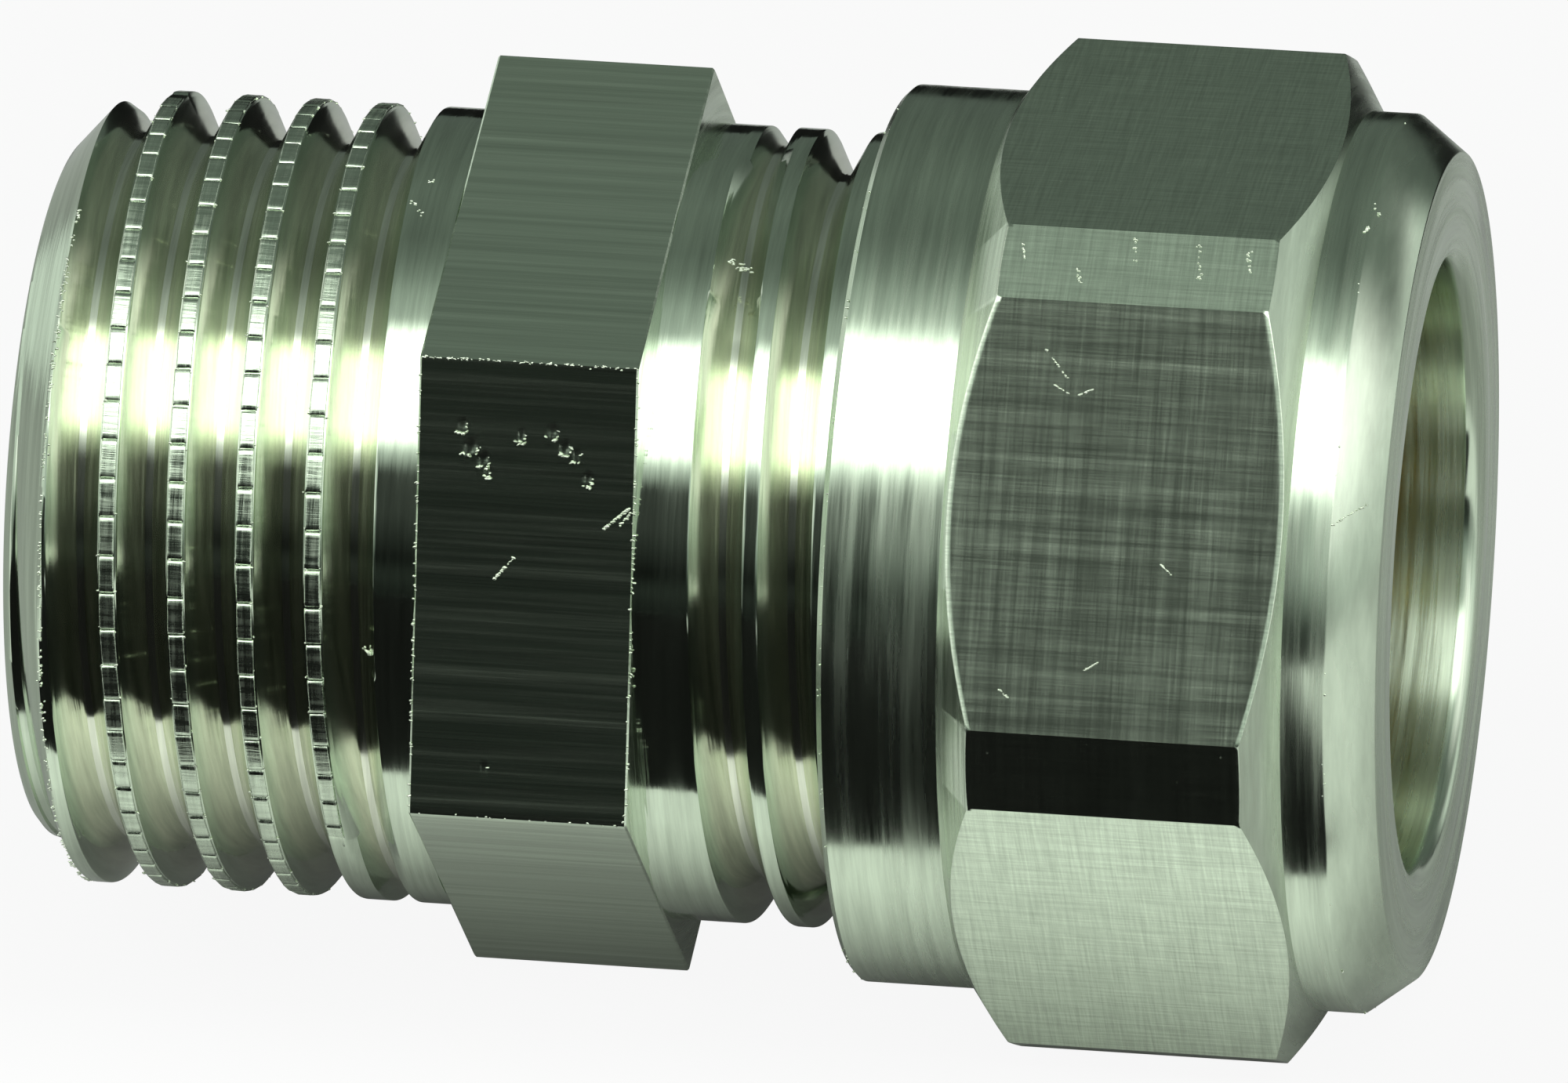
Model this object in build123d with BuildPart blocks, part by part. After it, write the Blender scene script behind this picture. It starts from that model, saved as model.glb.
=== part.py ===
"""Straight compression union: 1/2 inch pipe thread on one end, 15 mm tube clamp on the other.

Millimetres. The origin is on the tube axis, in the plane where the end of the tube stops.
+X runs out of the tube end, -X out of the pipe thread end, and +Z is up as the union lies
on one flat of its nut.
"""

from build123d import *
from math import atan, ceil, cos, degrees, radians, sin, tan
import os

os.makedirs("parts", exist_ok=True)

# Thread form, the same on both ends of the body: 14 turns per inch, right hand
thread_pitch = 25.4 / 14
thread_angle = 55
crest_width = 0.41
flank_gap = 0.1
nut_thread_depth = 0.93

# Tube, and the body's wall between its socket and the thread's root: the thread comes to
# the half inch pipe thread's 20.955
tube_diameter = 15
socket_play = 0.2
socket_wall = 1.7158
stop_ledge = 1.1
waterway_bevel = 0.5

# Body along the axis: pipe thread end, hexagon and compression end follow one another
pipe_end_length = 11.15
body_hex_width = 5.75
compression_end_length = 12.6
stop_to_mouth = 12
body_hex_rise = 0.02
body_hex_turn = 14.7
face_bevel_length = 1.25
face_bevel_depth = 1.43
mouth_bevel = 1.1

# Crests of the two threads on top of the body, and the angles from the top where the grooves end
crest_from_face = 2.63
left_crests = 4
left_end_angle = 85
crest_to_mouth = 9.91
right_start_angle = 33
fade_angle = 120

# Clamping ring and the two cones that squeeze it
seat_angle = 30
seat_gap = 0.04
seat_depth = 2.25
ring_play = 0.1
ring_end_wall = 0.4
ring_belt_wall = 1.25
ring_belt_length = 2.6
ring_space_play = 0.2

# Nut along the axis: the rim and the end lie either side of the narrow end of its seat, and
# the hexagon is what the collar and the neck leave
seat_from_rim = 11.52
seat_to_end = 2.98
collar_length = 3.15
neck_length = 2.35
relief_width = 1.8
relief_to_seat = 0.39

# Nut across the axis
relief_play = 0.22
entry_play = 0.32
collar_wall = 1.1
collar_bevel = 0.15
nut_hex_rise = 0.2
nut_corner_rise = 1.2
nut_hex_left_bevel = 36
nut_hex_right_bevel = 31
end_bevel_length = 1.22
end_bevel_depth = 0.95
nut_bore_play = 0.5
nut_bore_rounding = 0.5

# Radii that follow, from the tube outwards. The thread is two thirds as deep as its sharp V
socket_radius = (tube_diameter + socket_play) / 2
waterway_radius = socket_radius - stop_ledge
flank_slope = tan(radians(thread_angle / 2))
thread_depth = thread_pitch / flank_slope / 3
root_radius = socket_radius + socket_wall
thread_radius = root_radius + thread_depth
open_radius = thread_radius + flank_gap
body_hex_radius = thread_radius + body_hex_rise
ring_bore_radius = (tube_diameter + ring_play) / 2
ring_end_radius = ring_bore_radius + ring_end_wall
ring_belt_radius = ring_bore_radius + ring_belt_wall
ring_space_radius = ring_belt_radius + ring_space_play
nut_bore_radius = tube_diameter / 2 + nut_bore_play
nut_minor_radius = thread_radius - nut_thread_depth
relief_radius = thread_radius + relief_play
entry_radius = thread_radius + entry_play
collar_radius = relief_radius + collar_wall
nut_hex_radius = collar_radius + nut_hex_rise
nut_corner_radius = nut_hex_radius + nut_corner_rise

# Places along the axis that follow: the body, the ring in its seat, then the nut on the ring
body_length = pipe_end_length + body_hex_width + compression_end_length
mouth_x = stop_to_mouth
face_x = mouth_x - body_length
seat_slope = tan(radians(seat_angle))
seat_gap_across = seat_gap / cos(radians(seat_angle))
seat_mouth_radius = socket_radius + seat_depth * seat_slope
ring_cone_length = (ring_belt_radius - ring_end_radius) / seat_slope
ring_length = ring_belt_length + 2 * ring_cone_length
ring_x = mouth_x - (seat_mouth_radius - ring_end_radius - seat_gap_across) / seat_slope
ring_end_x = ring_x + ring_length
nut_seat_end_x = ring_end_x - (nut_bore_radius - ring_end_radius - seat_gap_across) / seat_slope
nut_seat_x = nut_seat_end_x - (ring_space_radius - nut_bore_radius) / seat_slope
rim_x = nut_seat_end_x - seat_from_rim
nut_length = seat_from_rim + seat_to_end
nut_hex_x = rim_x + collar_length
nut_hex_width = nut_length - collar_length - neck_length
relief_x = nut_seat_x - relief_to_seat - relief_width

standing = (Align.CENTER, Align.CENTER, Align.MIN)

# Degrees that one helical cutter may span: past a full turn its cut can fail
longest_cut = 330


def across(x, turn=0, facing=1):
    """Plane square to the axis at x, facing +X or -X, its x direction turned from +Z towards -Y."""
    a = radians(turn)
    return Plane(origin=(x, 0, 0), x_dir=(0, -sin(a), cos(a)), z_dir=(facing, 0, 0))


def body_groove(radius):
    """Half the width of the groove in the body's thread at a radius."""
    return (thread_pitch - crest_width) / 2 - (thread_radius - radius) * flank_slope


def nut_groove(radius):
    """Half the width of the groove in the nut's thread at a radius: the body's ridge plus the gap."""
    ridge = crest_width / 2 + (thread_radius - radius) * flank_slope
    return ridge + flank_gap / cos(radians(thread_angle / 2))


def helical_bar(turn, near_radius, far_radius, half_width, lift=0):
    """Bar along a right-hand helix that climbs local z from the local x axis for an angle.

    Its section reaches from one radius to the other, with a half width given for each, and
    lift is how far it moves out from the axis by its end.
    """
    climb = thread_pitch * turn / 360
    slant = atan(lift / climb)
    with BuildPart() as bar:
        with BuildLine() as path:
            Helix(thread_pitch / cos(slant), climb, near_radius, cone_angle=degrees(slant))
        with BuildSketch(Plane(origin=path.line @ 0, x_dir=(1, 0, 0), z_dir=path.line % 0)):
            with BuildLine():
                Polyline(
                    (0, half_width(near_radius)),
                    (far_radius - near_radius, half_width(far_radius)),
                    (far_radius - near_radius, -half_width(far_radius)),
                    (0, -half_width(near_radius)),
                    close=True,
                )
            make_face()
        sweep(is_frenet=True)
    return bar.part


def thread_run(x, start, end):
    """Planes that follow one another up the thread's helix from angle start to end, and their step.

    The run leaves x at angle start, and each plane is less than a turn from the next.
    """
    count = ceil((end - start) / longest_cut)
    step = (end - start) / count
    return [across(x + thread_pitch * step * i / 360, start + step * i) for i in range(count)], step


# The cutters of the body's thread: runs of grooves, and a short piece that fades out of the metal
left_groove_x = face_x + crest_from_face - thread_pitch * 1.5
left_end = 360 * (left_crests + 1) + left_end_angle
left_fade_x = left_groove_x + thread_pitch * left_end / 360
left_run, left_step = thread_run(left_groove_x, 0, left_end)
left_groove = helical_bar(left_step, root_radius, open_radius, body_groove)
right_crest_x = mouth_x - crest_to_mouth
right_groove_x = right_crest_x + thread_pitch * (right_start_angle / 360 - 0.5)
right_end = right_start_angle + 360 * ((mouth_x - right_groove_x) / thread_pitch + 1)
right_run, right_step = thread_run(right_groove_x, right_start_angle, right_end)
right_groove = helical_bar(right_step, root_radius, open_radius, body_groove)
fading_groove = helical_bar(fade_angle, root_radius, open_radius, body_groove, thread_depth + flank_gap)

# One-piece body: pipe thread, hexagon, compression thread, waterway, tube socket and ring seat
with BuildPart() as body:
    with Locations(across(face_x)):
        Cylinder(thread_radius, pipe_end_length, align=standing)
    face_rim = body.edges().filter_by(GeomType.CIRCLE).sort_by(Axis.X)[0]
    chamfer(face_rim, face_bevel_length, face_bevel_depth)
    for place in left_run:
        with Locations(place):
            add(left_groove, mode=Mode.SUBTRACT)
    with Locations(across(left_fade_x, left_end_angle)):
        add(fading_groove, mode=Mode.SUBTRACT)

    with BuildSketch(across(face_x + pipe_end_length, body_hex_turn)):
        RegularPolygon(body_hex_radius, 6, major_radius=False, rotation=30)
    extrude(amount=body_hex_width)

    with Locations(across(mouth_x - compression_end_length)):
        Cylinder(thread_radius, compression_end_length, align=standing)
    chamfer(body.edges().filter_by(GeomType.CIRCLE).sort_by(Axis.X)[-1], mouth_bevel)
    for place in right_run:
        with Locations(place):
            add(right_groove, mode=Mode.SUBTRACT)
    with Locations(across(right_groove_x, right_start_angle, -1)):
        add(fading_groove, mode=Mode.SUBTRACT)

    # Waterway, tube socket and the cone the ring is pressed into
    with Locations(across(face_x)):
        Cylinder(waterway_radius, body_length, align=standing, mode=Mode.SUBTRACT)
        bevel_radius = waterway_radius + waterway_bevel
        Cone(bevel_radius, waterway_radius, waterway_bevel, align=standing, mode=Mode.SUBTRACT)
    with Locations(across(0)):
        Cylinder(socket_radius, stop_to_mouth, align=standing, mode=Mode.SUBTRACT)
    with Locations(across(mouth_x - seat_depth)):
        Cone(socket_radius, seat_mouth_radius, seat_depth, align=standing, mode=Mode.SUBTRACT)

# Hexagon of the nut: its six corners are cut flat, and a cone turned at each end trims it
with BuildPart() as nut_hexagon:
    with BuildSketch(across(nut_hex_x)):
        RegularPolygon(nut_hex_radius, 6, major_radius=False, rotation=30)
        RegularPolygon(nut_corner_radius, 6, major_radius=False, mode=Mode.INTERSECT)
    extrude(amount=nut_hex_width)
    with Locations(across(nut_hex_x)):
        wide_radius = collar_radius + nut_hex_width / tan(radians(nut_hex_left_bevel))
        Cone(collar_radius, wide_radius, nut_hex_width, align=standing, mode=Mode.INTERSECT)
    with Locations(across(nut_hex_x + nut_hex_width, facing=-1)):
        wide_radius = collar_radius + nut_hex_width / tan(radians(nut_hex_right_bevel))
        Cone(collar_radius, wide_radius, nut_hex_width, align=standing, mode=Mode.INTERSECT)

# The cutter of the nut's thread: its run goes from outside the rim into the relief behind the thread
nut_end = 360 * ((relief_x + relief_width - right_crest_x) / thread_pitch - 0.5)
nut_run, nut_step = thread_run(right_crest_x, 0, nut_end)
nut_thread = helical_bar(nut_step, nut_minor_radius - flank_gap, thread_radius + flank_gap, nut_groove)

# Compression nut: collar, hexagon and neck outside, thread, ring seat and tube bore inside
with BuildPart() as compression_nut:
    with Locations(across(rim_x)):
        Cylinder(collar_radius, nut_length, align=standing)
    chamfer(compression_nut.edges().filter_by(GeomType.CIRCLE).sort_by(Axis.X)[0], collar_bevel)
    end_rim = compression_nut.edges().filter_by(GeomType.CIRCLE).sort_by(Axis.X)[-1]
    chamfer(end_rim, end_bevel_length, end_bevel_depth)
    add(nut_hexagon.part)

    # Bore for the tube, the cone that presses on the ring, and the space for the body's mouth
    with Locations(across(rim_x)):
        Cylinder(nut_bore_radius, nut_length, align=standing, mode=Mode.SUBTRACT)
    end_circles = compression_nut.edges().filter_by(GeomType.CIRCLE).group_by(Axis.X)[-1]
    fillet(end_circles.sort_by(SortBy.RADIUS)[0], nut_bore_rounding)
    with Locations(across(nut_seat_x)):
        Cone(ring_space_radius, nut_bore_radius, nut_seat_end_x - nut_seat_x, align=standing, mode=Mode.SUBTRACT)
    with Locations(across(rim_x)):
        Cylinder(ring_space_radius, nut_seat_x - rim_x, align=standing, mode=Mode.SUBTRACT)
        Cylinder(nut_minor_radius, relief_x - rim_x, align=standing, mode=Mode.SUBTRACT)
        entry_depth = entry_radius - nut_minor_radius
        Cone(entry_radius, nut_minor_radius, entry_depth, align=standing, mode=Mode.SUBTRACT)
    with Locations(across(relief_x)):
        Cylinder(relief_radius, relief_width, align=standing, mode=Mode.SUBTRACT)

    # Thread
    for place in nut_run:
        with Locations(place):
            add(nut_thread, mode=Mode.SUBTRACT)

# Clamping ring: a belt between two cones, bored for the tube
with BuildPart() as compression_ring:
    with Locations(across(ring_x)):
        Cone(ring_end_radius, ring_belt_radius, ring_cone_length, align=standing)
    with Locations(across(ring_x + ring_cone_length)):
        Cylinder(ring_belt_radius, ring_belt_length, align=standing)
    with Locations(across(ring_end_x - ring_cone_length)):
        Cone(ring_belt_radius, ring_end_radius, ring_cone_length, align=standing)
    with Locations(across(ring_x)):
        Cylinder(ring_bore_radius, ring_length, align=standing, mode=Mode.SUBTRACT)

body.part.label = "body"
compression_nut.part.label = "compression_nut"
compression_ring.part.label = "compression_ring"
export_step(body.part, "parts/body.step")
export_step(compression_nut.part, "parts/compression_nut.step")
export_step(compression_ring.part, "parts/compression_ring.step")
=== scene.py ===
"""Looks of a straight compression union: nickel-plated body and nut over a brass clamping ring.

The pieces are built in millimetres round the tube axis, which is +X, and written in metres.
Angles round the axis start at +Z and rise towards -Y, so a right-hand thread climbs along +X.
"""

import logging
import math
from dataclasses import dataclass, field
from enum import Enum
from typing import Any, Callable

import bpy
import numpy as np
from mathutils import Matrix, Vector

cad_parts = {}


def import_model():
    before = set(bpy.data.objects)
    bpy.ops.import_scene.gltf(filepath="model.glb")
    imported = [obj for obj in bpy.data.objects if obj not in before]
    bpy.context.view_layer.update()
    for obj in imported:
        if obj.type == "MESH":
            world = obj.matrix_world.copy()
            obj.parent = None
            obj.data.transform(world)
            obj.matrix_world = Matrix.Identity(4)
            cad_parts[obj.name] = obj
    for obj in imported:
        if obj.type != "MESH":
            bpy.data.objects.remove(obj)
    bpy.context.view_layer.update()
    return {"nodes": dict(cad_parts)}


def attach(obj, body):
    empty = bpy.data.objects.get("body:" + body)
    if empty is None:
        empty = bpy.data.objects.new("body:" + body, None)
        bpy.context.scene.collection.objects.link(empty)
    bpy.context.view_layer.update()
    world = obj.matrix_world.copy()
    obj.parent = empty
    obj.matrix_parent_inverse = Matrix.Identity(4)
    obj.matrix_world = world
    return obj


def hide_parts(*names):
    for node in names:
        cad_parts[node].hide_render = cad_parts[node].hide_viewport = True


log = logging.getLogger("compression_union")

MM = 0.001
PITCH = 25.4 / 14
THREAD_RADIUS = 10.4775
THREAD_DEPTH = 1.1617
ROOT_RADIUS = THREAD_RADIUS - THREAD_DEPTH
FLANK_SLOPE = math.tan(math.radians(27.5))
ROOT_HALF_WIDTH = 0.0974
CREST_HALF_WIDTH = 0.205
PIPE_CREST_X = -14.87
CLAMP_CREST_X = 2.09
KNURL_START = 12.3
KNURL_STEP = 5.54
ROUND_COLUMNS = 400
ROUND_STEP = 0.9
HEXAGON_COLUMNS = 720
HEXAGON_STEP = 0.5
SHARP_ANGLE = 28.0

Radius = Callable[[np.ndarray, np.ndarray], np.ndarray]
Tree = bpy.types.NodeTree
Socket = bpy.types.NodeSocket
Material = bpy.types.Material
Piece = bpy.types.Object
Places = tuple[tuple[float, float], ...]


def linear(hex_colour: str) -> tuple[float, float, float, float]:
    """Turns an sRGB hex colour into linear light.

    Args:
        hex_colour: Colour such as "CEDAC5".

    Returns:
        Linear red, green and blue, and an alpha of 1.
    """
    shades = [int(hex_colour[i : i + 2], 16) / 255 for i in (0, 2, 4)]
    lit = [s / 12.92 if s <= 0.04045 else ((s + 0.055) / 1.055) ** 2.4 for s in shades]
    return (*lit, 1.0)


def add(tree: Tree, kind: str, settings: dict[str, Any] | str | None = None, **links: Any) -> bpy.types.Node:
    """Adds a node with its settings and what goes into it.

    Args:
        tree: Tree that the node goes into.
        kind: Type of the node.
        settings: Properties of the node by name, or its operation alone.
        links: Values or sockets by input, written in0 for the first input or by its name.

    Returns:
        The node.
    """
    made = tree.nodes.new(kind)
    if isinstance(settings, str):
        settings = {"operation": settings}
    for name, value in (settings or {}).items():
        setattr(made, name, value)
    for name, value in links.items():
        is_place = name.startswith("in") and name[2:].isdigit()
        socket = made.inputs[int(name[2:])] if is_place else made.inputs[name.replace("_", " ")]
        if isinstance(value, Socket):
            tree.links.new(value, socket)
        else:
            socket.default_value = value
    return made


def placed(name: str, data: bpy.types.ID) -> Piece:
    """Makes an object of a mesh, light or camera and puts it in the scene."""
    made = bpy.data.objects.new(name, data)
    bpy.context.scene.collection.objects.link(made)
    return made


def blank(name: str) -> Material:
    """Makes a material whose tree is still empty."""
    material = bpy.data.materials.new(name)
    material.use_nodes = True
    material.node_tree.nodes.clear()
    return material


def soft_min(a: np.ndarray, b: np.ndarray | float, blend: float) -> np.ndarray:
    """Lower of two heights, with the edge where they meet rounded over a blend."""
    near = np.maximum(blend - np.abs(a - b), 0) / blend
    return np.minimum(a, b) - near * near * blend / 4


def soft_max(a: np.ndarray, b: np.ndarray | float, blend: float) -> np.ndarray:
    """Higher of two heights, with the corner where they meet filled over a blend."""
    return -soft_min(-a, -np.asarray(b), blend)


class Lay(Enum):
    """Way in which the fine lines of the cutting tool run."""

    TURNED = "round the axis"
    DRAWN = "along the axis"
    CROSSED = "both ways"


@dataclass(frozen=True)
class MachinedFinish:
    """Machined brass, bare or plated with bright nickel, satin where the tool's lines show through.

    Nickel mirrors its surroundings a little green and dim, brass yellow and warm. The lines of the
    tool pull each reflection out across them into fine streaks.
    """

    name: str
    lay: Lay
    colour: str = "CFDBC8"
    roughness: float = 0.2
    stretch: float = 0.75
    line_spacing: float = 0.08
    line_depth: float = 0.0012
    wave_spacing: float = 0.6
    wave_depth: float = 0.004
    streak_contrast: float = 0.25
    satin_contrast: float = 0.45
    speck_depth: float = 0.0
    groove_colour: str = "E1E5D4"
    groove_radius: float = 0.0
    groove_from: float = -16.25
    coarse_depth: float = 0.012
    streak_spacing: float = 0.24

    def material(self) -> Material:
        """Builds the material.

        Returns:
            The material, with its patterns on Object coordinates.
        """
        material = blank(self.name)
        tree = material.node_tree
        object_place = add(tree, "ShaderNodeTexCoord").outputs["Object"]
        place = add(tree, "ShaderNodeVectorMath", "SCALE", in0=object_place, Scale=1 / MM).outputs[0]
        around = add(tree, "ShaderNodeVectorMath", "MULTIPLY", in0=place, in1=(0.0, 1.0, 1.0))
        radius = add(tree, "ShaderNodeVectorMath", "LENGTH", in0=around.outputs[0]).outputs["Value"]
        height, shade, rough = 0.0, 1.0, self.roughness
        for lines in self.line_places(tree, place, radius):
            height, shade, rough = self.tool_marks(tree, lines, height, shade, rough)
        if self.groove_radius:
            height = self.shoulder_lines(tree, self.line_places(tree, place, radius)[0], radius, height)
        if self.speck_depth:
            height = self.specks(tree, place, height)
        colour = linear(self.colour)
        if self.groove_radius:
            colour = self.warm_grooves(tree, place, radius)
        tinted = add(
            tree, "ShaderNodeMix", {"data_type": "RGBA", "blend_type": "MULTIPLY"}, Factor=1.0, in6=colour,
            in7=shade,
        )
        bump = add(tree, "ShaderNodeBump", Strength=1.0, Distance=MM, Height=height)
        along = add(tree, "ShaderNodeTangent", {"direction_type": "RADIAL", "axis": "X"})
        metal = add(
            tree, "ShaderNodeBsdfPrincipled", Base_Color=tinted.outputs[2], Metallic=1.0, Roughness=rough,
            Anisotropic=0.0 if self.lay is Lay.CROSSED else self.stretch,
            Anisotropic_Rotation=0.25 if self.lay is Lay.TURNED else 0.0, Tangent=along.outputs[0],
            Normal=bump.outputs[0],
        )
        add(tree, "ShaderNodeOutputMaterial", Surface=metal.outputs[0])
        return material

    def line_places(self, tree: Tree, place: Socket, radius: Socket) -> list[Socket]:
        """Stretches the place in the object so that noise on it becomes tool lines.

        Args:
            tree: Tree of the material.
            place: Object coordinates in millimetres.
            radius: Distance from the axis in millimetres.

        Returns:
            Stretched places, one for each way in which lines run.
        """
        slow = 0.012 if self.lay is Lay.DRAWN else 0.035
        split = add(tree, "ShaderNodeSeparateXYZ", in0=place).outputs
        found = []
        if self.lay is not Lay.DRAWN:
            rise = radius if self.lay is Lay.TURNED else 0.0
            across = add(tree, "ShaderNodeMath", "ADD", in0=split[0], in1=rise).outputs[0]
            slow_y = add(tree, "ShaderNodeMath", "MULTIPLY", in0=split[1], in1=slow).outputs[0]
            slow_z = add(tree, "ShaderNodeMath", "MULTIPLY", in0=split[2], in1=slow).outputs[0]
            found.append(add(tree, "ShaderNodeCombineXYZ", in0=across, in1=slow_y, in2=slow_z).outputs[0])
        if self.lay is not Lay.TURNED:
            slow_x = add(tree, "ShaderNodeMath", "MULTIPLY", in0=split[0], in1=slow).outputs[0]
            found.append(add(tree, "ShaderNodeCombineXYZ", in0=slow_x, in1=split[1], in2=split[2]).outputs[0])
        return found

    def tool_marks(
        self, tree: Tree, lines: Socket, height: Any, shade: Any, rough: Any
    ) -> tuple[Socket, Socket, Socket]:
        """Adds one set of tool lines to the height, the shade and the roughness of the metal.

        Args:
            tree: Tree of the material.
            lines: Stretched place.
            height: Height so far, in millimetres.
            shade: Shade so far, 1 where the plating is plain.
            rough: Roughness so far.

        Returns:
            New height, new shade and new roughness.
        """
        spread = 1 / self.line_spacing
        fine = add(tree, "ShaderNodeTexNoise", Vector=lines, Scale=spread, Detail=2.0).outputs[0]
        wave = add(
            tree, "ShaderNodeTexNoise", Vector=lines, Scale=1 / self.wave_spacing, Detail=4.0, Roughness=0.75
        ).outputs[0]
        spread = 1 / self.streak_spacing
        streak = add(
            tree, "ShaderNodeTexNoise", Vector=lines, Scale=spread, Detail=5.0, Roughness=0.7
        ).outputs[0]
        for noise, depth in ((fine, self.line_depth), (wave, self.wave_depth)):
            height = add(
                tree, "ShaderNodeMath", "MULTIPLY_ADD", in0=noise, in1=depth, in2=height
            ).outputs[0]
        tone = add(
            tree, "ShaderNodeMapRange", in0=streak, in1=0.25, in2=0.75, in3=1 - self.streak_contrast,
            in4=1 + self.streak_contrast,
        ).outputs[0]
        shade = add(tree, "ShaderNodeMath", "MULTIPLY", in0=tone, in1=shade).outputs[0]
        satin = add(
            tree, "ShaderNodeMapRange", in0=wave, in1=0.3, in2=0.7, in3=1 - self.satin_contrast,
            in4=1 + 2 * self.satin_contrast,
        ).outputs[0]
        rough = add(tree, "ShaderNodeMath", "MULTIPLY", in0=satin, in1=rough).outputs[0]
        return height, shade, rough

    def specks(self, tree: Tree, place: Socket, height: Any) -> Socket:
        """Adds sparse pin-point specks of dust and plating to the height.

        Args:
            tree: Tree of the material.
            place: Object coordinates in millimetres.
            height: Height so far, in millimetres.

        Returns:
            New height.
        """
        cells = add(tree, "ShaderNodeTexVoronoi", Vector=place, Scale=2.6)
        split = add(tree, "ShaderNodeSeparateColor", in0=cells.outputs["Color"])
        size = add(tree, "ShaderNodeMapRange", in0=split.outputs[0], in1=0.45, in2=1.0, in3=0.0, in4=0.11)
        dot = add(tree, "ShaderNodeMath", "LESS_THAN", in0=cells.outputs["Distance"], in1=size.outputs[0])
        return add(
            tree, "ShaderNodeMath", "MULTIPLY_ADD", in0=dot.outputs[0], in1=self.speck_depth, in2=height,
        ).outputs[0]

    def shoulder_lines(self, tree: Tree, lines: Socket, radius: Socket, height: Any) -> Socket:
        """Adds the coarser tool lines that the plain metal beside the thread keeps.

        Args:
            tree: Tree of the material.
            lines: Stretched place.
            radius: Distance from the axis in millimetres.
            height: Height so far, in millimetres.

        Returns:
            New height.
        """
        outside = add(
            tree, "ShaderNodeMapRange", in0=radius, in1=self.groove_radius + 0.05,
            in2=self.groove_radius + 0.15, in4=self.coarse_depth,
        )
        coarse = add(tree, "ShaderNodeTexNoise", Vector=lines, Scale=3.5, Detail=3.0, Roughness=0.6)
        return add(
            tree, "ShaderNodeMath", "MULTIPLY_ADD", in0=coarse.outputs[0], in1=outside.outputs[0],
            in2=height,
        ).outputs[0]

    def warm_grooves(self, tree: Tree, place: Socket, radius: Socket) -> Socket:
        """Mixes the plating towards the warmer colour that it takes on deep in a thread.

        Args:
            tree: Tree of the material.
            place: Object coordinates in millimetres.
            radius: Distance from the axis in millimetres.

        Returns:
            Colour of the plating by depth.
        """
        depth = add(
            tree, "ShaderNodeMapRange", in0=radius, in1=self.groove_radius, in2=self.groove_radius - 0.4,
            in3=0.0, in4=1.0,
        )
        x = add(tree, "ShaderNodeSeparateXYZ", in0=place).outputs[0]
        threaded = add(tree, "ShaderNodeMath", "GREATER_THAN", in0=x, in1=self.groove_from)
        share = add(tree, "ShaderNodeMath", "MULTIPLY", in0=depth.outputs[0], in1=threaded.outputs[0])
        mixed = add(
            tree, "ShaderNodeMix", {"data_type": "RGBA"}, Factor=share.outputs[0], in6=linear(self.colour),
            in7=linear(self.groove_colour),
        )
        return mixed.outputs[2]


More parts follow.
